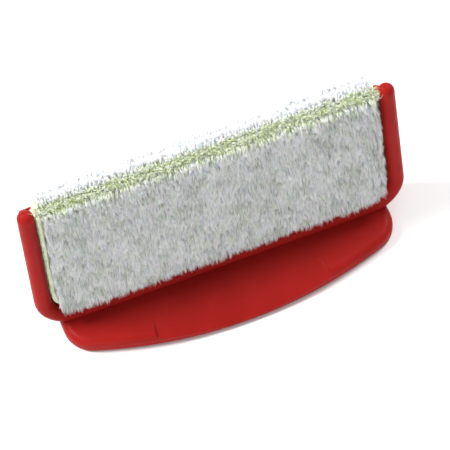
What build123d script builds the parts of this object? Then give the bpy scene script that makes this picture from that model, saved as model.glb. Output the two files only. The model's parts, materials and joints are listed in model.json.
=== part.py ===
"""Hand-held paint pad edger: a moulded L-shaped holder with a slide-in pile pad.

X runs along the long side, -Y towards the rim of the grip, +Z up, and the grip lies flat on Z = 0.
The head is built upright around its own neck line and then leans back as a whole:
inside head functions Y = 0 is the plane through the middle of the rim bead, Z = 0 the neck line.
"""
from build123d import *
import os

# Holder head
RIM_SPAN = 110.0            # between the centre lines of the two upright beads
RIM_HEIGHT = 46.3           # neck line to the centre of each bead's domed end
RIM_CORNER = 9.5            # centre-line radius of the bead's lower corners
BEAD_RADIUS = 2.5
LEAN = 10.0                 # degrees that the head leans back from upright
NECK_HEIGHT = 5.0           # neck line above the floor, also the top of the grip
WALL = 2.0                  # back plate
SIDE_WALL = 2.5             # web behind each bead
WEB_DROP = 2.0              # the web ends this far below the centre of the bead's dome
PLATE_HEIGHT = 40.0         # top edge of the back plate above the neck line
PLATE_CORNER = 5.0
OUTER_EDGE = 1.0            # rounding of the head's rear outer edges
PANEL_INSET = 6.0           # border round the sunk panel on the back
PANEL_DEPTH = 0.6
FOOT_INSET = 3.0            # the foot is this much narrower than the grip, each side
FOOT_CORNER = 3.0
FOOT_POCKETS = 6

# Grip
GRIP_WIDTH = 102.2
GRIP_REACH = 20.1           # neck line to the rim at mid width
GRIP_SIDE_REACH = 10.0      # neck line to where the front arc would meet the straight sides
GRIP_CORNER = 9.0
GRIP_HEEL = 2.9             # how far the grip runs in under the head, and its rear corner radius
GRIP_EDGE = 2.3             # rounding of the grip's top edge
GRIP_UNDER_EDGE = 1.2       # rounding of its lower edge
SCOOP_WIDTH = 56.0
SCOOP_DEPTH = 3.0           # at the rim
SCOOP_START = 9.5           # where it leaves the top face, in front of the neck line
SCOOP_FLARE = 3.0           # how far each side wall opens from mid depth to the rim
SCOOP_BLEND = 1.2           # rounding between its floor and side walls
CORE_DEPTH = 2.0            # pockets in the underside
CORE_BORDER = 3.6
RIB = 1.6

# Pad, measured from the middle plane of the bead
PAD_WIDTH = 104.0
PAD_BOTTOM = 4.2
PAD_CORNER = 5.0            # lower corners, cut to clear the rim's corners
BARE_EDGE = 1.0             # cloth left without pile along both ends
PAD_TOP = 47.0              # outer face of the backing cloth, where it folds over the foam
PILE = 4.8                  # length of the fibres
CLOTH = 0.8
FOLD_RADIUS = 2.0           # outer radius of the cloth's fold
FOAM = 4.2
TAPE = 0.3
TRAY = 1.5
TRAY_TOP = 42.0             # upper edge of the tray, a finger's hold above the back plate
TRAY_CORNER = 3.0
TONGUE = 0.8                # how far each tray edge runs into its groove
SLIDE_GAP = 0.2             # clearance round the tray

# Planes that follow from the above, front to back
cloth_back = CLOTH
foam_back = cloth_back + FOAM
tape_back = foam_back + TAPE
tray_back = tape_back + TRAY
plate_front = tray_back + SLIDE_GAP
plate_back = plate_front + WALL
bay_half = RIM_SPAN / 2 - BEAD_RADIUS          # inner faces of the side walls
foam_top = PAD_TOP - CLOTH
pile_half = PAD_WIDTH / 2 - BARE_EDGE


def block(x0, x1, y0, y1, z0, z1):
    """Axis-aligned block between two corners."""
    return Pos((x0 + x1) / 2, (y0 + y1) / 2, (z0 + z1) / 2) * Box(x1 - x0, y1 - y0, z1 - z0)


def profile_x(points, x0, x1):
    """Prism along X with its outline given as (y, z) points."""
    face = make_face(Polyline(*[(0, y, z) for y, z in points], close=True))
    solid = extrude(face, amount=x1 - x0, dir=(1, 0, 0))
    return Pos(x0, 0, 0) * solid


def rim_bead():
    """Round bar that runs down one side, under the pad and up the other side."""
    half = RIM_SPAN / 2
    path = FilletPolyline((-half, 0, RIM_HEIGHT), (-half, 0, 0), (half, 0, 0), (half, 0, RIM_HEIGHT),
                          radius=RIM_CORNER)
    bar = sweep(Plane(origin=path @ 0, z_dir=path % 0) * Circle(BEAD_RADIUS), path=path)
    for side in (-1, 1):
        bar += Pos(side * half, 0, RIM_HEIGHT) * Sphere(BEAD_RADIUS)
    return bar


def rim_outline(inset, top):
    """Face in the XZ plane inside the U-shaped rim, moved in from the bead's centre line."""
    half = RIM_SPAN / 2 - inset
    corner = RIM_CORNER - inset
    u_shape = FilletPolyline((-half, 0, top), (-half, 0, inset), (half, 0, inset), (half, 0, top),
                             radius=corner)
    return make_face(u_shape.edges() + [Line((half, 0, top), (-half, 0, top))])


def head_shell():
    """Side walls, lower wall and back plate as one open tray behind the bead."""
    body = extrude(rim_outline(0, RIM_HEIGHT), amount=plate_back, dir=(0, 1, 0))
    body = fillet(body.edges().group_by(Axis.Y)[-1], OUTER_EDGE)
    opening = rim_outline(SIDE_WALL, RIM_HEIGHT + 10)
    bay = Pos(0, -1, 0) * extrude(opening, amount=plate_front + 1, dir=(0, 1, 0))
    falling_top = profile_x([(0, RIM_HEIGHT - WEB_DROP), (plate_front, PLATE_HEIGHT + WALL),
                             (plate_back, PLATE_HEIGHT), (plate_back + 5, PLATE_HEIGHT),
                             (plate_back + 5, 60), (0, 60)], -80, 80)
    plate_top = block(-bay_half, bay_half, plate_front - 1, plate_back + 1, PLATE_HEIGHT, 60)
    return body - bay - falling_top - plate_top - back_panel()


def back_panel():
    """Shallow sunk panel on the outer face of the back plate."""
    low = RIM_CORNER
    height = PLATE_HEIGHT - low - PANEL_INSET
    plan = RectangleRounded(RIM_SPAN - 2 * PANEL_INSET, height, PLATE_CORNER)
    return Pos(0, plate_back, low + height / 2) * Rot(90, 0, 0) * extrude(plan, amount=PANEL_DEPTH)


def foot():
    """Block under the rim that carries the head down to the floor."""
    half = GRIP_WIDTH / 2 - FOOT_INSET
    body = block(-half, half, -BEAD_RADIUS / 2, plate_back - OUTER_EDGE, -2 * NECK_HEIGHT, SIDE_WALL / 2)
    return fillet(body.edges().filter_by(Axis.Z).group_by(Axis.Y)[-1], FOOT_CORNER)


def tray_groove():
    """U-shaped groove round the bay that the tray's edges slide in, open at the top."""
    plan = rim_outline(SIDE_WALL - TONGUE - SLIDE_GAP, RIM_HEIGHT + 10)
    start = tape_back - SLIDE_GAP
    return Pos(0, start, 0) * extrude(plan, amount=plate_front - start, dir=(0, 1, 0))


def foot_cores():
    """Pockets that core out the foot from below, between ribs."""
    span = GRIP_WIDTH - 4 * FOOT_INSET
    pitch = span / FOOT_POCKETS
    cores = []
    for i in range(FOOT_POCKETS):
        x0 = -span / 2 + i * pitch + RIB / 2
        cores.append(block(x0, x0 + pitch - RIB, RIB, plate_front - RIB / 2, -3 * NECK_HEIGHT, -RIB / 2))
    return Part() + cores


def lean(shape):
    """Head coordinates to floor coordinates, still with Y = 0 at the neck line."""
    return Pos(0, 0, NECK_HEIGHT) * Rot(-LEAN, 0, 0) * shape


def grip_outline():
    """Plan of the grip: straight sides, rounded corners and a shallow front arc."""
    half = GRIP_WIDTH / 2
    sides = [Line((half, -GRIP_SIDE_REACH), (half, GRIP_HEEL)), Line((half, GRIP_HEEL), (-half, GRIP_HEEL)),
             Line((-half, GRIP_HEEL), (-half, -GRIP_SIDE_REACH))]
    front = ThreePointArc((-half, -GRIP_SIDE_REACH), (0, -GRIP_REACH), (half, -GRIP_SIDE_REACH))
    face = make_face(sides + [front])
    face = fillet(face.vertices().sort_by(Axis.Y)[:2], GRIP_CORNER)
    return fillet(face.vertices().sort_by(Axis.Y)[-2:], GRIP_HEEL)


def thumb_scoop():
    """Cut in the top of the grip whose floor curves down from the neck to the rim."""
    far = 2 * GRIP_REACH
    run = GRIP_REACH - SCOOP_START
    bend = (run ** 2 + SCOOP_DEPTH ** 2) / (2 * SCOOP_DEPTH)
    floor = Pos(0, -SCOOP_START, NECK_HEIGHT - bend) * Rot(0, 90, 0) * Cylinder(bend, 2 * GRIP_WIDTH)
    half = SCOOP_WIDTH / 2
    narrow = half - SCOOP_FLARE
    wide = half + SCOOP_FLARE
    plan = make_face(Polyline((-wide, -far), (wide, -far), (narrow, 0), (-narrow, 0), close=True))
    above = extrude(plan, amount=3 * NECK_HEIGHT) & block(-wide, wide, -far, -SCOOP_START, 0, 2 * NECK_HEIGHT)
    tool = above - floor
    walls = [e for e in tool.edges().filter_by(lambda e: abs(e.tangent_at(0.5).Y) > 0.8)
             if 0.1 < e.center().Z < NECK_HEIGHT]
    return fillet(walls, SCOOP_BLEND)


def grip_cores():
    """Pockets in the underside of both lobes, between ribs."""
    half = GRIP_WIDTH / 2
    inner = SCOOP_WIDTH / 2 + RIB
    lobe = half - CORE_BORDER - inner
    pitch = lobe / 2
    pockets = Part()
    for side in (-1, 1):
        for i in range(2):
            x0 = inner + i * pitch + (RIB / 2 if i else 0)
            x1 = inner + (i + 1) * pitch - (0 if i else RIB / 2)
            front = -GRIP_SIDE_REACH + (2.0 if i else 0.5)
            pocket = block(x0, x1, front, -1.5, -1, CORE_DEPTH)
            pockets += pocket if side > 0 else mirror(pocket, about=Plane.YZ)
    return pockets


def grip():
    """Flat plate that the thumb presses, with a scoop at the middle of its rim."""
    plate = extrude(grip_outline(), amount=NECK_HEIGHT)
    rim = [e for e in plate.edges().group_by(Axis.Z)[-1] if e.center().Y < GRIP_HEEL - 0.1]
    plate = fillet(rim, GRIP_EDGE)
    under = [e for e in plate.edges().group_by(Axis.Z)[0] if e.center().Y < GRIP_HEEL - 0.1]
    plate = fillet(under, GRIP_UNDER_EDGE)
    return plate - thumb_scoop() - grip_cores()


def holder():
    """The one moulding: U-shaped rim, back plate, ledge and grip."""
    head = head_shell() + foot() + rim_bead()
    head = lean(head - tray_groove() - foot_cores())
    below = Pos(0, 0, -25) * Box(300, 300, 50)
    return grip() + head - below


def pad_tray():
    """Stiff carrier of the pad; its edges run in the holder's groove."""
    plan = rim_outline(SIDE_WALL - TONGUE, TRAY_TOP)
    plan = fillet(plan.vertices().group_by(Axis.Z)[-1], TRAY_CORNER)
    return Pos(0, tape_back, 0) * extrude(plan, amount=TRAY, dir=(0, 1, 0))


def tray_tape():
    """Double-sided sheet between the tray and the foam."""
    half = PAD_WIDTH / 2
    return corner_cut(block(-half, half, foam_back, tape_back, PAD_BOTTOM, TRAY_TOP - TRAY_CORNER))


def corner_cut(body):
    """Rounds the two lower corners of a layer of the pad."""
    return fillet(body.edges().filter_by(Axis.Y).group_by(Axis.Z)[0], PAD_CORNER)


def folded_section(top, front, back, bottom, radius):
    """Solid along X with its upper front edge and its lower corners rounded."""
    body = block(-PAD_WIDTH / 2, PAD_WIDTH / 2, front, back, bottom, top)
    edge = body.edges().filter_by(Axis.X).group_by(Axis.Z)[-1].sort_by(Axis.Y)[0]
    return corner_cut(fillet(edge, radius))


def foam_core():
    """Foam slab under the cloth."""
    return folded_section(foam_top, CLOTH, foam_back, PAD_BOTTOM, FOLD_RADIUS - CLOTH)


def backing_cloth():
    """Pile fabric's ground cloth, folded over the top of the foam."""
    outer = folded_section(PAD_TOP, 0, foam_back, PAD_BOTTOM, FOLD_RADIUS)
    behind = block(-PAD_WIDTH, PAD_WIDTH, CLOTH, foam_back + 1, PAD_BOTTOM - 1, foam_top - FOLD_RADIUS)
    return outer - foam_core() - behind


def pile_face():
    """Envelope of the upright painting pile."""
    return corner_cut(block(-pile_half, pile_half, -PILE, 0, PAD_BOTTOM, PAD_TOP + 1))


def pile_top():
    """Envelope of the strip of pile over the top edge."""
    return block(-pile_half, pile_half, 0.4, foam_back + 0.2, PAD_TOP, PAD_TOP + PILE - 0.8)


def main():
    pad = {name.__name__: lean(name()) for name in
           (pad_tray, tray_tape, foam_core, backing_cloth, pile_face, pile_top)}
    parts = {"holder": holder(), **pad}
    boxes = [shape.bounding_box() for shape in parts.values()]
    middle = (min(b.min.Y for b in boxes) + max(b.max.Y for b in boxes)) / 2
    os.makedirs("parts", exist_ok=True)
    for name, shape in parts.items():
        export_step(Pos(0, -middle, 0) * shape, f"parts/{name}.step")
    print("neck line at Y", -middle)


main()
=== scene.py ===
"""Looks of the paint pad edger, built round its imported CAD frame. Lengths are in metres."""
import json
import math

import bpy
import numpy as np
from mathutils import Matrix, Vector


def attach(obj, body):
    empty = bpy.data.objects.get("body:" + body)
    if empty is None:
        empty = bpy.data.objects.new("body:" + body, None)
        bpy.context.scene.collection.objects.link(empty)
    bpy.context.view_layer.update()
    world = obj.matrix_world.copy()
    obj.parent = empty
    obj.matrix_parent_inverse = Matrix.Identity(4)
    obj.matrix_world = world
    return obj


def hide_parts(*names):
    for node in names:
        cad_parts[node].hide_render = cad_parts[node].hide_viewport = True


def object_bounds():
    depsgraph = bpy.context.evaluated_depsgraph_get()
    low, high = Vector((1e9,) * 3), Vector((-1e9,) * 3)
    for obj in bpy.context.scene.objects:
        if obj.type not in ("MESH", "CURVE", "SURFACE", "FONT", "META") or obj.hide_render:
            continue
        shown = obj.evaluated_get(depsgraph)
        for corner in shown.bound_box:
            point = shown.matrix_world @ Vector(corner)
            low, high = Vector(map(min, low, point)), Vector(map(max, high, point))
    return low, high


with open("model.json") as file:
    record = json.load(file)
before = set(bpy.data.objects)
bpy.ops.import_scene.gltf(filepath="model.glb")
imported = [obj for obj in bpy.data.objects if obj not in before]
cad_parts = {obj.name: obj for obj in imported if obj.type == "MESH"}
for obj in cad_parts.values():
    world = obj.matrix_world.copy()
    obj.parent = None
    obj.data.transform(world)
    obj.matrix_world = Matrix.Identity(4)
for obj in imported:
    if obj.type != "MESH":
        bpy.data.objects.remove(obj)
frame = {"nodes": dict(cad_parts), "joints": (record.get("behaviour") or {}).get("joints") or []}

MM = 0.001
SEED = 7
cad_low, cad_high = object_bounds()

# The head leans back, and the pad slides along it. UP runs up its face, OUT points out of it.
UP = np.array(frame["joints"][0]["axis"], float)
OUT = np.array([0.0, -UP[2], UP[1]])
ALONG = np.array([1.0, 0.0, 0.0])
CARTRIDGE = "pad_cartridge"


def head_box(node):
    """Lowest and highest (along, out, up) of a CAD node in the head's own directions."""
    points = np.array([v.co for v in frame["nodes"][node].data.vertices], float)
    local = points @ np.stack([ALONG, OUT, UP], axis=1)
    return local.min(axis=0), local.max(axis=0)


def to_row(local):
    """Points given as (along, out, up) in the row frame."""
    return local @ np.stack([ALONG, OUT, UP])


cloth_low, cloth_high = head_box("backing_cloth")
foam_low, foam_high = head_box("foam_core")
face_low, face_high = head_box("pile_face")
HALF = cloth_high[0]                        # half the pad's width
GROUND = cloth_high[1]                      # front of the ground cloth
REAR = cloth_low[1]
BOTTOM, TOP = cloth_low[2], cloth_high[2]
CLOTH = GROUND - foam_high[1]               # thickness of the cloth
PILE = face_high[1] - face_low[1]           # height of the pile on the face
TOP_PILE = head_box("pile_top")[1][2] - TOP     # and over the top edge
PILE_HALF = face_high[0]                    # the pile stops short of the cloth's ends
CORNER = 5.0 * MM                           # the pad's rounded lower corners
FOLD = 2.0 * MM                             # outer radius where the cloth turns over the foam
FOLD_ARC = FOLD * math.pi / 2               # length of cloth round that fold
STRIP = GROUND - FOLD - REAR                # depth of the flat strip over the top


# ---------------------------------------------------------------- materials

def new_material(name, colour, roughness, sheen=0.0, gloss=0.5):
    """A Principled material with its even values set on the shader's own sockets."""
    material = bpy.data.materials.new(name)
    material.use_nodes = True
    shader = material.node_tree.nodes["Principled BSDF"]
    shader.inputs["Base Color"].default_value = (*colour, 1.0)
    shader.inputs["Roughness"].default_value = roughness
    shader.inputs["Sheen Weight"].default_value = sheen
    shader.inputs["Sheen Roughness"].default_value = 0.5
    shader.inputs["Specular IOR Level"].default_value = gloss
    return material, shader


def own_place(material, stretch=(1.0, 1.0, 1.0)):
    """The object's own coordinates, each times its stretch."""
    nodes, links = material.node_tree.nodes, material.node_tree.links
    place = nodes.new("ShaderNodeTexCoord")
    mapping = nodes.new("ShaderNodeMapping")
    mapping.inputs["Scale"].default_value = stretch
    links.new(place.outputs["Object"], mapping.inputs["Vector"])
    return mapping.outputs["Vector"]


def add_noise(material, scale, detail=4.0, stretch=(1.0, 1.0, 1.0)):
    """Noise from 0 to 1 over the object's own coordinates."""
    noise = material.node_tree.nodes.new("ShaderNodeTexNoise")
    noise.inputs["Scale"].default_value = scale
    noise.inputs["Detail"].default_value = detail
    material.node_tree.links.new(own_place(material, stretch), noise.inputs["Vector"])
    return noise.outputs["Fac"]


def add_range(material, source, low, high, target):
    """Feeds a 0 to 1 pattern to a socket as low to high. Its middle part is stretched to fill them."""
    span = material.node_tree.nodes.new("ShaderNodeMapRange")
    span.inputs["From Min"].default_value = 0.3
    span.inputs["From Max"].default_value = 0.7
    span.inputs["To Min"].default_value = low
    span.inputs["To Max"].default_value = high
    material.node_tree.links.new(source, span.inputs["Value"])
    material.node_tree.links.new(span.outputs["Result"], target)


def add_tone(material, source, dark, light, target, edges=(0.35, 0.65)):
    """Feeds a 0 to 1 pattern to a colour socket as a blend of two colours between its edges."""
    ramp = material.node_tree.nodes.new("ShaderNodeValToRGB")
    for stop, place, colour in zip(ramp.color_ramp.elements, edges, (dark, light)):
        stop.position = place
        stop.color = (*colour, 1.0)
    material.node_tree.links.new(source, ramp.inputs["Fac"])
    material.node_tree.links.new(ramp.outputs["Color"], target)


def add_bump(material, shader, source, height):
    """Relief of the given height in metres."""
    bump = material.node_tree.nodes.new("ShaderNodeBump")
    bump.inputs["Strength"].default_value = 1.0
    bump.inputs["Distance"].default_value = height
    material.node_tree.links.new(source, bump.inputs["Height"])
    material.node_tree.links.new(bump.outputs["Normal"], shader.inputs["Normal"])


def red_plastic():
    """Moulded polypropylene: deep red, satin gloss, faint mottling, fine orange peel and rub marks."""
    material, shader = new_material("red_plastic", (0.29, 0.010, 0.008), roughness=0.45, gloss=0.07)
    mottle = add_noise(material, scale=90.0)
    add_tone(material, mottle, (0.27, 0.009, 0.007), (0.31, 0.011, 0.009), shader.inputs["Base Color"])
    rubbed = add_noise(material, scale=260.0, detail=6.0, stretch=(0.25, 1.0, 1.0))
    add_range(material, rubbed, 0.38, 0.52, shader.inputs["Roughness"])
    peel = add_noise(material, scale=1400.0, detail=2.0)
    add_bump(material, shader, peel, height=0.02 * MM)
    shader.inputs["IOR"].default_value = 1.49
    return material


def tray_plastic():
    """Matt pale grey polystyrene with a fine moulded grain."""
    material, shader = new_material("tray_plastic", (0.44, 0.45, 0.44), roughness=0.55)
    grain = add_noise(material, scale=1800.0, detail=3.0)
    add_tone(material, grain, (0.40, 0.41, 0.40), (0.47, 0.48, 0.47), shader.inputs["Base Color"])
    add_bump(material, shader, grain, height=0.03 * MM)
    return material


def tape_film():
    """Pale adhesive film."""
    material, shader = new_material("tape_film", (0.70, 0.64, 0.44), roughness=0.3)
    cloud = add_noise(material, scale=600.0)
    add_tone(material, cloud, (0.66, 0.59, 0.40), (0.74, 0.69, 0.50), shader.inputs["Base Color"])
    return material


def foam_skin():
    """Open-cell foam: yellow green, with dented cell mouths darkened by painted shade."""
    material, shader = new_material("foam_skin", (0.78, 0.80, 0.48), roughness=0.9)
    cells = material.node_tree.nodes.new("ShaderNodeTexVoronoi")
    cells.inputs["Scale"].default_value = 1900.0
    material.node_tree.links.new(own_place(material), cells.inputs["Vector"])
    pore_depth_and_shade = cells.outputs["Distance"]
    # painted shade: the colour darkens towards each cell's middle, where the bump dents its mouth
    add_tone(material, pore_depth_and_shade, (0.48, 0.52, 0.22), (0.86, 0.87, 0.62), shader.inputs["Base Color"],
             edges=(0.1, 0.5))
    add_bump(material, shader, pore_depth_and_shade, height=0.25 * MM)
    return material


def ground_knit():
    """Knitted ground of the pile fabric: yellow-green yarn in fine ribs."""
    material, shader = new_material("ground_knit", (0.82, 0.90, 0.65), roughness=0.85, sheen=0.2)
    yarn = add_noise(material, scale=1500.0, detail=3.0, stretch=(1.0, 0.35, 0.35))
    add_tone(material, yarn, (0.72, 0.84, 0.50), (0.91, 0.97, 0.80), shader.inputs["Base Color"])
    add_bump(material, shader, yarn, height=0.12 * MM)
    return material


def pile_root():
    """The dense lower part of the pile, between the free fibres."""
    material, shader = new_material("pile_root", (0.84, 0.85, 0.85), roughness=0.9, sheen=0.3)
    strands = add_noise(material, scale=1700.0, detail=5.0, stretch=(1.0, 0.3, 0.3))
    add_tone(material, strands, (0.66, 0.69, 0.67), (0.97, 0.97, 0.97), shader.inputs["Base Color"])
    add_bump(material, shader, strands, height=0.3 * MM)
    return material


def plain_materials(tints, roughness, sheen):
    """One even material for each named tint."""
    return [new_material(name, tint[0], roughness, sheen)[0] for name, tint in tints.items()]


PILE_TINTS = {                              # name: (linear colour, share on the face, share over the top)
    "pile_white": ((0.98, 0.98, 0.98), 0.50, 0.58),
    "pile_cool": ((0.74, 0.83, 0.92), 0.14, 0.24),
    "pile_grey": ((0.38, 0.41, 0.40), 0.12, 0.05),
    "pile_green": ((0.68, 0.78, 0.56), 0.12, 0.03),
    "pile_lilac": ((0.94, 0.84, 0.94), 0.12, 0.10),
}
THREAD_TINTS = {                            # name: (linear colour, share of the threads)
    "thread_lime": ((0.82, 0.96, 0.48), 0.28),
    "thread_olive": ((0.52, 0.66, 0.26), 0.09),
    "thread_pale": ((0.95, 0.99, 0.86), 0.63),
}
PATCH_TINTS = {"pile_grey": 0.7, "pile_green": 0.3}     # name: share of the fibres that a patch dulls
FACE_SHARES, TOP_SHARES = ([tint[place] for tint in PILE_TINTS.values()] for place in (1, 2))
THREAD_SHARES = [share for _, share in THREAD_TINTS.values()]
pile_materials = plain_materials(PILE_TINTS, roughness=0.62, sheen=0.25)
thread_materials = plain_materials(THREAD_TINTS, roughness=0.7, sheen=0.2)
pile_and_yarn = pile_materials + thread_materials


# ---------------------------------------------------------------- mesh helpers

def mesh_object(name, points, triangles, materials, faces_material=None, smooth=True):
    """A mesh object from arrays of points and triangles in the row frame."""
    mesh = bpy.data.meshes.new(name)
    mesh.vertices.add(len(points))
    mesh.vertices.foreach_set("co", np.ascontiguousarray(points, np.float32).ravel())
    mesh.loops.add(3 * len(triangles))
    mesh.loops.foreach_set("vertex_index", np.ascontiguousarray(triangles, np.int32).ravel())
    mesh.polygons.add(len(triangles))
    mesh.polygons.foreach_set("loop_start", np.arange(0, 3 * len(triangles), 3, dtype=np.int32))
    for material in materials:
        mesh.materials.append(material)
    if faces_material is not None:
        mesh.polygons.foreach_set("material_index", np.ascontiguousarray(faces_material, np.int32))
    mesh.polygons.foreach_set("use_smooth", np.full(len(triangles), smooth))
    mesh.update(calc_edges=True)
    mesh.validate()
    piece = bpy.data.objects.new(name, mesh)
    bpy.context.scene.collection.objects.link(piece)
    return piece


def head_object(name, local, triangles, materials, faces_material=None):
    """The same from (along, out, up) points. Those axes are left-handed, so the faces are turned over."""
    return mesh_object(name, to_row(local), np.asarray(triangles)[:, ::-1], materials, faces_material)


def unit(vectors):
    """The same directions, each one long."""
    return vectors / np.linalg.norm(vectors, axis=-1, keepdims=True)


def closeness(distance, reach):
    """1 at no distance, falling evenly to 0 at the reach and beyond."""
    return np.clip(1 - distance / reach, 0, 1)


NOISE_CELLS = 64                            # soft noise repeats after this many cells


def soft_noise(rng, a, b, cell):
    """Smooth random values from -1 to 1 over two coordinates, with features about one cell wide."""
    lattice = rng.uniform(-1, 1, (NOISE_CELLS, NOISE_CELLS))
    p, q = a / cell, b / cell
    i, j = np.floor(p).astype(int), np.floor(q).astype(int)
    s, t = p - i, q - j
    s, t = s * s * (3 - 2 * s), t * t * (3 - 2 * t)

    def corner(di, dj):
        return lattice[(i + di) % NOISE_CELLS, (j + dj) % NOISE_CELLS]

    near, far = corner(0, 0) * (1 - s) + corner(1, 0) * s, corner(0, 1) * (1 - s) + corner(1, 1) * s
    return near * (1 - t) + far * t


def closed_grid(nx, nu):
    """Faces of a closed plate: a grid of outer points, the same grid of inner points, and its edges."""
    at = np.arange(nx * nu).reshape(nx, nu)
    a, b, c, d = at[:-1, :-1].ravel(), at[1:, :-1].ravel(), at[1:, 1:].ravel(), at[:-1, 1:].ravel()
    outer = np.concatenate([np.stack([a, c, b], 1), np.stack([a, d, c], 1)])
    loop = np.concatenate([at[:, 0], at[-1, 1:], at[-2::-1, -1], at[0, -2:0:-1]])
    ahead = np.roll(loop, -1)
    under = at.size
    edge = np.concatenate([np.stack([loop, ahead + under, loop + under], 1),
                           np.stack([loop, ahead, ahead + under], 1)])
    return np.concatenate([outer, outer[:, ::-1] + under, edge])


def box_grid(low, high, cell):
    """Points and faces of a closed box, gridded about one cell apart."""
    counts = np.maximum(((high - low) / cell).astype(int), 4)
    axes = [np.linspace(low[k], high[k], counts[k] + 1) for k in range(3)]
    index, points, triangles = {}, [], []

    def vertex(key):
        if key not in index:
            index[key] = len(points)
            points.append([axes[k][key[k]] for k in range(3)])
        return index[key]

    for k in range(3):
        p, q = (k + 1) % 3, (k + 2) % 3
        for end in (0, counts[k]):
            turn = ((0, 0), (1, 0), (1, 1), (0, 1)) if end else ((0, 1), (1, 1), (1, 0), (0, 0))
            for i, j in np.ndindex(counts[p], counts[q]):
                corners = []
                for di, dj in turn:
                    key = [0, 0, 0]
                    key[k], key[p], key[q] = int(end), i + di, j + dj
                    corners.append(vertex(tuple(key)))
                a, b, c, d = corners
                triangles += [(a, b, c), (a, c, d)]
    return np.array(points), triangles


def half_width(up, half=HALF):
    """Half the pad's width at a height, less where its lower corners are rounded."""
    deep = np.clip(CORNER - (up - BOTTOM), 0, CORNER)
    return half - (CORNER - np.sqrt(CORNER ** 2 - deep ** 2))


def fold_point(run):
    """(out, up) and the outward direction on the cloth's outer face, run metres past the fold's start."""
    angle = np.clip(run / FOLD, 0, math.pi / 2)
    out = GROUND - FOLD + FOLD * np.cos(angle) - np.clip(run - FOLD_ARC, 0, None)
    up = TOP - FOLD + FOLD * np.sin(angle)
    return out, up, np.cos(angle), np.sin(angle)


# ---------------------------------------------------------------- fibres

FIBRE_STEPS = np.array([0.0, 0.6])          # where along a fibre its rings lie
FIBRE_TAPER = np.array([1.0, 0.85])         # and how thick it is there
SIDES = 3
FIBRES_PER_PIECE = 19000                    # keeps each piece under 200,000 faces


def fibre_triangles():
    """Faces of one closed fibre: a cap at its root, belts of side faces between its rings, and a point."""
    faces = [(0, 2, 1)]
    rings = len(FIBRE_STEPS)
    for ring in range(rings - 1):
        for side in range(SIDES):
            a, b = ring * SIDES + side, ring * SIDES + (side + 1) % SIDES
            faces += [(a, b, b + SIDES), (a, b + SIDES, a + SIDES)]
    last = (rings - 1) * SIDES
    faces += [(last + side, last + (side + 1) % SIDES, rings * SIDES) for side in range(SIDES)]
    return np.array(faces)


def fibres(name, rng, root, tip, sag, radius, materials, tint):
    """Closed, tapered fibres. The middle of each is off its straight line by its length times minus sag."""
    count = len(root)
    reach = tip - root
    length = np.linalg.norm(reach, axis=1)
    t = FIBRE_STEPS[None, :, None]
    bow = (sag * length[:, None])[:, None] * 4 * t * (t - 1)
    centre = root[:, None] + reach[:, None] * t + bow
    side = unit(np.cross(reach, rng.normal(size=(count, 3))))
    other = np.cross(unit(reach), side)
    turn = 2 * math.pi * np.arange(SIDES) / SIDES
    spoke = np.cos(turn)[None, :, None] * side[:, None] + np.sin(turn)[None, :, None] * other[:, None]
    ring = centre[:, :, None] + (radius[:, None] * FIBRE_TAPER)[:, :, None, None] * spoke[:, None]
    points = np.concatenate([ring.reshape(count, -1, 3), tip[:, None]], axis=1)
    pattern = fibre_triangles()
    triangles = (np.arange(count)[:, None, None] * points.shape[1] + pattern).reshape(-1, 3)
    return head_object(name, points.reshape(-1, 3), triangles, materials, np.repeat(tint, len(pattern)))


def grown(name, rng, root, tip, sag, radius, materials, tint):
    """The same in as many pieces as the limit on a piece needs."""
    parts = max(1, math.ceil(len(root) / FIBRES_PER_PIECE))
    cuts = [slice(i, None, parts) for i in range(parts)]
    return [fibres(f"{name}_{i + 1}", rng, root[cut], tip[cut], sag[cut], radius[cut], materials, tint[cut])
            for i, cut in enumerate(cuts)]


def jittered(rng, low, high, step):
    """Points over a rectangle, one near each node of a grid."""
    a = np.arange(low[0], high[0], step)
    b = np.arange(low[1], high[1], step)
    p, q = (grid.ravel() for grid in np.meshgrid(a, b))
    p = p + rng.uniform(0, step, p.size)
    q = q + rng.uniform(0, step, q.size)
    return np.clip(p, low[0], high[0]), np.clip(q, low[1], high[1])


# ---------------------------------------------------------------- pile

TUFT_STEP, TUFT_SPREAD = 0.56 * MM, 0.42 * MM
FACE_TUFT, TOP_TUFT = 7, 10                 # fibres in a tuft
GATHER = 0.6                                # how much of a tuft's width is left at its tip
TINT_SHARED = 0.65                          # share of the fibres that take their tuft's tint
ROOT_DEPTH = 0.15 * MM                      # fibres start this far inside the ground cloth
ROOT_MARGIN = 0.1 * MM                      # and this far in from the edges of the pile
FACE_END = TOP - 0.6 * FOLD                 # the face's tufts stop here, part way round the fold
TOP_START = 0.62 * FOLD_ARC                 # and the top strip's start this far round it
YARN_REACH, YARN_CHANCE = 1.1 * MM, 0.42    # this near the fold, ground yarn shows among the pile
PATCH_CELL, PATCH_CHANCE = 2.2 * MM, 0.5    # patches in which more of the fibres are dull
PATCH_CONTRAST = 1.6
WAVE, SWELL = 5.0 * MM, 8.0 * MM            # cells over which the pile's lean and its height drift
END_REACH = 2.0 * MM                        # tufts this near the pad's ends turn inwards
COMB_ALONG, COMB_UP = -0.18, -0.12          # lean of the face's pile for each metre of its height
COMB_LIFT = 0.16                            # and how far it is raised by the fold and by the foot
FOLD_SHORT, FOOT_SHORT = 0.22, 0.10         # share of its height that the face's pile loses there
TOP_TRIM, TOP_SHORT = 0.88, 0.35            # share of its height the top strip has, and loses by the fold
TOP_LEAN = -0.06                            # lean of the top strip's pile forwards
TOP_LIFT, REAR_LEAN = 0.08, -0.10           # what is added to that by the fold and by the rear
TIP_SCATTER, LENGTH_SCATTER = 0.12 * MM, 0.04
SAG_SCATTER = 0.05


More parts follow.
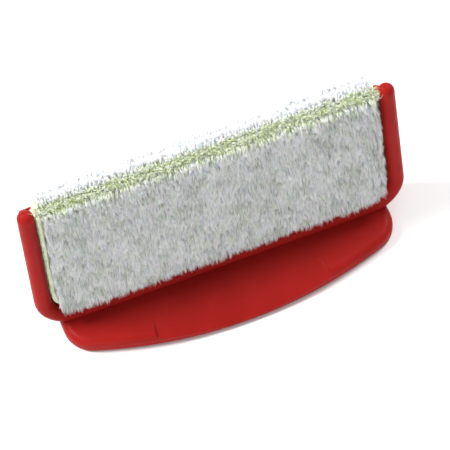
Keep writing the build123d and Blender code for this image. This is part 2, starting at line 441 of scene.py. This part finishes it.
class Tufts:
    """Tufts of fibres over a rectangle: each fibre's tuft centre, offset, tint and tuft number."""

    def __init__(self, rng, low, high, per_tuft, shares):
        p, q = jittered(rng, low, high, TUFT_STEP)
        self.rng = rng
        self.count = len(p)
        self.tuft = np.repeat(np.arange(self.count), per_tuft)
        self.centre = np.stack([p, q], axis=1)[self.tuft]
        turn = rng.uniform(0, 2 * math.pi, len(self.tuft))
        away = TUFT_SPREAD * np.sqrt(rng.uniform(0, 1, len(self.tuft)))
        self.offset = np.stack([away * np.cos(turn), away * np.sin(turn)], axis=1)
        shared = rng.choice(len(shares), self.count, p=shares)[self.tuft]
        own = rng.choice(len(shares), len(self.tuft), p=shares)
        self.tint = np.where(self.lucky(TINT_SHARED), shared, own)

    def lucky(self, chance):
        """True for each fibre with the given chance."""
        return self.rng.uniform(0, 1, len(self.tuft)) < chance

    def add_patches(self):
        """Dulls more of the fibres in soft patches."""
        patch = np.clip(PATCH_CONTRAST * soft_noise(self.rng, *self.centre.T, PATCH_CELL), 0, 1)
        tints = [list(PILE_TINTS).index(name) for name in PATCH_TINTS]
        duller = self.rng.choice(tints, len(self.tint), p=list(PATCH_TINTS.values()))
        self.tint = np.where(self.lucky(PATCH_CHANCE * patch), duller, self.tint)

    def add_yarn(self, past_fold):
        """Tints some fibres near the fold as ground yarn: ever fewer with the distance past it."""
        yarn = len(pile_materials) + self.rng.choice(len(thread_materials), len(self.tint), p=THREAD_SHARES)
        self.tint = np.where(self.lucky(YARN_CHANCE * closeness(past_fold, YARN_REACH)), yarn, self.tint)

    def keep(self, which):
        """Drops all the other fibres."""
        self.tuft, self.centre = self.tuft[which], self.centre[which]
        self.offset, self.tint = self.offset[which], self.tint[which]

    def shared(self, spread):
        """One random value a tuft."""
        return self.rng.normal(0, spread, self.count)[self.tuft]

    def own(self, spread):
        """One random value a fibre."""
        return self.rng.normal(0, spread, len(self.tuft))

    def drift(self, amount, cell):
        """A random value that changes smoothly over the pad, within the amount either way."""
        return amount * soft_noise(self.rng, *self.centre.T, cell)

    def lean_along(self, wave, spread, inward, comb=0.0):
        """Lean along the pad for each metre of height: combed and uneven, but inwards at its ends."""
        end = closeness(PILE_HALF - np.abs(self.centre[:, 0]), END_REACH)
        lean = self.drift(wave, WAVE) + self.shared(spread) * (1 - 0.5 * end)
        return lean - inward * end * np.sign(self.centre[:, 0]) + comb * (1 - end)


def face_pile():
    """The pile that faces forward: dense little tufts, combed slightly down and towards one end."""
    rng = np.random.default_rng(SEED)
    tufts = Tufts(rng, (-PILE_HALF, BOTTOM), (PILE_HALF, FACE_END), FACE_TUFT, FACE_SHARES)
    tufts.keep(np.abs(tufts.centre[:, 0]) < half_width(tufts.centre[:, 1], PILE_HALF) - 2 * ROOT_MARGIN)
    tuft_x, tuft_up = tufts.centre.T
    tufts.add_patches()
    tufts.add_yarn(FACE_END - tuft_up)
    x, up = (tufts.centre + tufts.offset).T
    up = np.clip(up, BOTTOM + ROOT_MARGIN, TOP - 0.5 * FOLD)
    widest = half_width(up, PILE_HALF) - ROOT_MARGIN
    root = np.stack([np.clip(x, -widest, widest), np.full(x.size, GROUND - ROOT_DEPTH), up], axis=1)

    by_fold = closeness(TOP - 1.0 * MM - tuft_up, 3.2 * MM)      # tufts by the fold stand up from it
    by_foot = closeness(tuft_up - BOTTOM, 3.0 * MM)              # and those along the foot are about level
    lean_x = tufts.lean_along(wave=0.12, spread=0.15, inward=0.04, comb=COMB_ALONG)
    lean_up = COMB_UP + COMB_LIFT * (by_fold + by_foot) + tufts.drift(0.12, WAVE)
    lean_up += tufts.shared(0.17) * (1 - 0.6 * by_foot)
    uneven = tufts.drift(0.03, SWELL) + np.clip(tufts.shared(0.08), -0.20, 0.12)
    height = PILE * (1 - FOLD_SHORT * by_fold ** 2 - FOOT_SHORT * by_foot + uneven)
    tip = np.stack([tuft_x + GATHER * tufts.offset[:, 0] + height * lean_x + tufts.own(TIP_SCATTER),
                    GROUND + height * (1 + tufts.own(LENGTH_SCATTER)),
                    tuft_up + GATHER * tufts.offset[:, 1] + height * lean_up + tufts.own(TIP_SCATTER)],
                   axis=1)
    sag = np.stack([tufts.own(SAG_SCATTER), np.full(x.size, -0.05), tufts.own(SAG_SCATTER) - 0.10], axis=1)
    radius = rng.uniform(0.055, 0.08, x.size) * MM
    return grown("pile_face_fibres", rng, root, tip, sag, radius, pile_and_yarn, tufts.tint)


def top_pile():
    """The strip of pile over the top edge, standing up from the fold."""
    rng = np.random.default_rng(SEED + 1)
    top_end = FOLD_ARC + STRIP
    tufts = Tufts(rng, (-PILE_HALF, TOP_START), (PILE_HALF, top_end), TOP_TUFT, TOP_SHARES)
    tuft_x, tuft_run = tufts.centre.T
    tufts.add_yarn(tuft_run - TOP_START)
    x, run = (tufts.centre + tufts.offset).T
    x = np.clip(x, -PILE_HALF + ROOT_MARGIN, PILE_HALF - ROOT_MARGIN)
    out, up, normal_out, normal_up = fold_point(np.clip(run, 0.5 * FOLD_ARC, top_end))
    root = np.stack([x, out - ROOT_DEPTH * normal_out, up - ROOT_DEPTH * normal_up], axis=1)

    by_fold = closeness(tuft_run - TOP_START, 2.0 * MM)          # tufts by the fold are short
    by_rear = closeness(top_end - tuft_run, 1.6 * MM)            # and those at the rear lean back
    lean_x = tufts.lean_along(wave=0.10, spread=0.12, inward=0.16)
    lean_out = TOP_LEAN + tufts.shared(0.12) + REAR_LEAN * by_rear + TOP_LIFT * by_fold
    height = TOP_PILE * (TOP_TRIM - TOP_SHORT * by_fold + np.clip(tufts.shared(0.05), -0.15, 0.1))
    tuft_out = fold_point(tuft_run)[0]
    tip = np.stack([tuft_x + GATHER * tufts.offset[:, 0] + height * lean_x + tufts.own(TIP_SCATTER),
                    tuft_out - GATHER * tufts.offset[:, 1] + height * lean_out + tufts.own(TIP_SCATTER),
                    TOP + height * (1 + tufts.own(LENGTH_SCATTER))], axis=1)
    sag = np.stack([tufts.own(SAG_SCATTER), tufts.own(SAG_SCATTER) - 0.03, np.full(x.size, -0.03)], axis=1)
    radius = rng.uniform(0.06, 0.09, x.size) * MM
    return grown("pile_top_fibres", rng, root, tip, sag, radius, pile_and_yarn, tufts.tint)


# ---------------------------------------------------------------- beds, cloth and foam

SHEET_CELL, FOAM_CELL = 0.4 * MM, 0.6 * MM  # how far apart their points are
LUMPS = {1.2 * MM: 1.0, 0.5 * MM: 0.6}      # size of a bed's lumps: their part of its relief
BED_ROUND = 1.6 * MM                        # how far in from its edges a bed rounds off
BED_DROP = 0.8                              # and how much of its height is lost there
BED_INSET = 1.0 * MM                        # the beds stop this far short of the pile's ends
BED_SUNK = 0.1 * MM                         # and start this far inside the cloth
BED_FOOT, BED_REAR = 1.2 * MM, 0.3 * MM     # the face's starts this far up, and the top's stops this far in
FACE_BED, TOP_BED = 3.0 * MM, 2.6 * MM      # their heights
FACE_RELIEF, TOP_RELIEF = 0.3 * MM, 0.2 * MM
RIB_HEIGHT, RIB_STEP, ROW_STEP = 0.06 * MM, 0.9 * MM, 0.8 * MM     # the knit's relief
FOAM_DENT = 0.10 * MM


def bed(name, low, high, relief, rng, material, on_top=False):
    """Closed slab between two (along, height, across) corners, with a rough and rounded upper face.

    Across runs up the face of the pad, and backwards over its top."""
    xs = np.linspace(low[0], high[0], int((high[0] - low[0]) / SHEET_CELL) + 1)
    rows = np.linspace(low[2], high[2], int((high[2] - low[2]) / SHEET_CELL) + 1)
    x, across = (g.ravel() for g in np.meshgrid(xs, rows, indexing="ij"))
    rough = relief * sum(part * soft_noise(rng, x, across, cell) for cell, part in LUMPS.items())
    inside = np.minimum(high[0] - np.abs(x), np.minimum(across - low[2], high[2] - across))
    by_edge = closeness(inside, BED_ROUND)
    drop = (high[1] - low[1]) * BED_DROP * (1 - np.sqrt(1 - by_edge ** 2))
    if not on_top:
        x = x * half_width(across) / HALF
    outer = np.stack([x, high[1] + rough * (1 - by_edge) - drop, across], axis=1)
    inner = np.stack([x, np.full(x.size, low[1]), across], axis=1)
    points = np.concatenate([outer, inner])
    if on_top:
        points = np.stack([points[:, 0], -points[:, 2], points[:, 1]], axis=1)
    return head_object(name, points, closed_grid(len(xs), len(rows)), [material])


def ground_cloth():
    """The knitted ground, folded over the foam: one sheet with both its faces and its cut edges."""
    straight = TOP - FOLD - BOTTOM
    stations = np.concatenate([np.arange(-straight, 0, SHEET_CELL), np.arange(0, FOLD_ARC, SHEET_CELL / 2),
                               np.arange(FOLD_ARC, FOLD_ARC + STRIP, SHEET_CELL), [FOLD_ARC + STRIP]])
    xs = np.linspace(-HALF, HALF, int(2 * HALF / SHEET_CELL) + 1)
    x, run = (g.ravel() for g in np.meshgrid(xs, stations, indexing="ij"))
    out, up, normal_out, normal_up = fold_point(run)
    up = np.where(run < 0, TOP - FOLD + run, up)
    x = x * half_width(up) / HALF
    rib = RIB_HEIGHT * np.sin(x * 2 * math.pi / RIB_STEP) * np.sin(run * 2 * math.pi / ROW_STEP)
    outer = np.stack([x, out + rib * normal_out, up + rib * normal_up], axis=1)
    inner = np.stack([x, out - CLOTH * normal_out, up - CLOTH * normal_up], axis=1)
    triangles = closed_grid(len(xs), len(stations))
    cloth = head_object("ground_cloth", np.concatenate([outer, inner]), triangles, [ground_knit()])
    return cloth, straight + FOLD_ARC + STRIP


def foam_block():
    """Foam slab with a rounded upper front edge and uneven, cut ends."""
    rng = np.random.default_rng(SEED + 2)
    points, triangles = box_grid(foam_low, foam_high, FOAM_CELL)
    radius = FOLD - CLOTH
    beyond = points[:, 1:] - (foam_high[1:] - radius)            # past the centre of the rounding
    corner = (beyond > 0).all(axis=1)
    square = beyond[corner]
    points[corner, 1:] += square * (square.max(axis=1) / np.hypot(*square.T) - 1)[:, None]
    points[:, 0] *= half_width(points[:, 2]) / HALF
    at_end = np.isclose(np.abs(points[:, 0]), half_width(points[:, 2]))
    dent = np.abs(rng.normal(0, FOAM_DENT, len(points)))
    points[:, 0] -= np.where(at_end, np.sign(points[:, 0]) * dent, 0)
    return head_object("foam_slab", points, triangles, [foam_skin()])


END_THREADS, FOLD_THREADS = 250, 5500       # at each end, and in the fold
END_LENGTH, FOLD_LENGTH = (0.6, 1.4), (1.4, 3.6)     # shortest and longest, in millimetres


def cut_threads():
    """Loose yellow-green threads along the cloth's cut ends and thickly in the fold."""
    rng = np.random.default_rng(SEED + 3)
    side = np.repeat([-1.0, 1.0], END_THREADS)                   # these point forwards past the ends
    up = rng.uniform(BOTTOM + CORNER, TOP - FOLD, side.size)
    root_end = np.stack([side * (HALF - 0.1 * MM), GROUND - rng.uniform(0.1, 0.7, side.size) * MM, up],
                        axis=1)
    way_end = np.stack([side * rng.uniform(0.1, 0.6, side.size), rng.normal(0.9, 0.5, side.size),
                        rng.normal(-0.2, 0.5, side.size)], axis=1)
    run = rng.uniform(0.15, 0.85, FOLD_THREADS) * FOLD_ARC       # and these stand out of the fold
    out, up, normal_out, normal_up = fold_point(run)
    root_fold = np.stack([rng.uniform(-HALF, HALF, FOLD_THREADS), out, up], axis=1)
    way_fold = np.stack([rng.normal(0, 0.8, FOLD_THREADS),
                         normal_out + 0.3 + rng.normal(0, 0.3, FOLD_THREADS),
                         normal_up + rng.normal(0, 0.3, FOLD_THREADS)], axis=1)
    root = np.concatenate([root_end, root_fold])
    way = unit(np.concatenate([way_end, way_fold]))
    length = np.where(np.arange(len(root)) < side.size, rng.uniform(*END_LENGTH, len(root)),
                      rng.uniform(*FOLD_LENGTH, len(root)))
    tip = root + way * (length * MM)[:, None]
    sag = rng.normal(0, 0.2, root.shape)
    radius = rng.uniform(0.055, 0.10, len(root)) * MM
    tint = rng.choice(len(thread_materials), len(root), p=THREAD_SHARES)
    return fibres("cut_threads", rng, root, tip, sag, radius, thread_materials, tint)


# ---------------------------------------------------------------- build

for node, look in (("holder", red_plastic()), ("pad_tray", tray_plastic()), ("tray_tape", tape_film())):
    frame["nodes"][node].data.materials.clear()
    frame["nodes"][node].data.materials.append(look)

foam = foam_block()
cloth, cloth_length = ground_cloth()
rng_bed = np.random.default_rng(SEED + 4)
root_look = pile_root()
face_bed = bed("pile_face_bed", (-PILE_HALF + BED_INSET, GROUND - BED_SUNK, BOTTOM + BED_FOOT),
               (PILE_HALF - BED_INSET, GROUND + FACE_BED, TOP - FOLD), FACE_RELIEF, rng_bed, root_look)
top_bed = bed("pile_top_bed", (-PILE_HALF + BED_INSET, TOP - BED_SUNK, FOLD - GROUND),
              (PILE_HALF - BED_INSET, TOP + TOP_BED, -REAR - BED_REAR), TOP_RELIEF, rng_bed, root_look,
              on_top=True)
face_fibres = face_pile()
top_fibres = top_pile()
threads = cut_threads()

for piece in (foam, cloth, face_bed, top_bed, threads, *face_fibres, *top_fibres):
    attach(piece, CARTRIDGE)
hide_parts("foam_core")
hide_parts("backing_cloth")
for piece in (face_bed, *face_fibres):
    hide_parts("pile_face")
for piece in (top_bed, *top_fibres):
    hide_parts("pile_top")


# ---------------------------------------------------------------- stage, light, camera

FLOOR_HALF = 4.0
SKY = 0.48                                  # strength of the even light from all sides
LAMPS = {                                   # name: (place, height aimed at, side of the square lamp, watts)
    "rear_left": ((-0.62, 0.28, 0.75), 0.02, 0.3, 11.8),
    "rear_right": ((0.62, 0.28, 0.75), 0.02, 0.3, 6.8),
    "front": ((-0.55, -1.00, 0.22), 0.03, 0.4, 4.0),
}


def floor():
    """Plain pale paper under the tool."""
    material, shader = new_material("floor_paper", (0.90, 0.90, 0.90), roughness=0.9)
    grain = add_noise(material, scale=40.0)
    add_tone(material, grain, (0.89, 0.89, 0.89), (0.91, 0.91, 0.91), shader.inputs["Base Color"])
    corners = FLOOR_HALF * np.array([(-1, -1, 0), (1, -1, 0), (1, 1, 0), (-1, 1, 0)])
    sheet = mesh_object("floor", corners, np.array([(0, 1, 2), (0, 2, 3)]), [material], smooth=False)


def lights():
    """Even light from all sides, two lamps above and behind the pad, and one in front."""
    world = bpy.data.worlds.new("studio")
    world.use_nodes = True
    world.node_tree.nodes["Background"].inputs["Color"].default_value = (1.0, 1.0, 1.0, 1.0)
    world.node_tree.nodes["Background"].inputs["Strength"].default_value = SKY
    bpy.context.scene.world = world
    for name, (place, aim, side, watts) in LAMPS.items():
        lamp = bpy.data.lights.new(name, "AREA")
        lamp.shape = "SQUARE"
        lamp.size = side
        lamp.energy = watts
        light = bpy.data.objects.new(name, lamp)
        light.location = place
        light.rotation_euler = (Vector((0, 0, aim)) - Vector(place)).to_track_quat("-Z", "Y").to_euler()
        bpy.context.scene.collection.objects.link(light)


def camera():
    """Camera at the angle from which the tool is known, close enough to fill the picture."""
    azimuth, elevation, roll = (math.radians(angle) for angle in (-17.7, 59.3, 4.3))
    distance = 1.3
    filled = 10.06                          # lens length in sensor widths
    centre = (cad_low + cad_high) / 2
    back = Vector((math.sin(azimuth) * math.cos(elevation), -math.cos(azimuth) * math.cos(elevation),
                   math.sin(elevation)))
    data = bpy.data.cameras.new("camera")
    data.lens = data.sensor_width * filled
    data.shift_x, data.shift_y = 0.0045, -0.0019
    data.clip_start, data.clip_end = 0.01, 20.0
    eye = bpy.data.objects.new("camera", data)
    turn = (-back).to_track_quat("-Z", "Y").to_matrix().to_4x4()
    eye.matrix_world = Matrix.Translation(centre + back * distance) @ turn @ Matrix.Rotation(-roll, 4, "Z")
    bpy.context.scene.collection.objects.link(eye)
    bpy.context.scene.camera = eye


floor()
lights()
camera()
bpy.context.scene.view_settings.view_transform = "Standard"
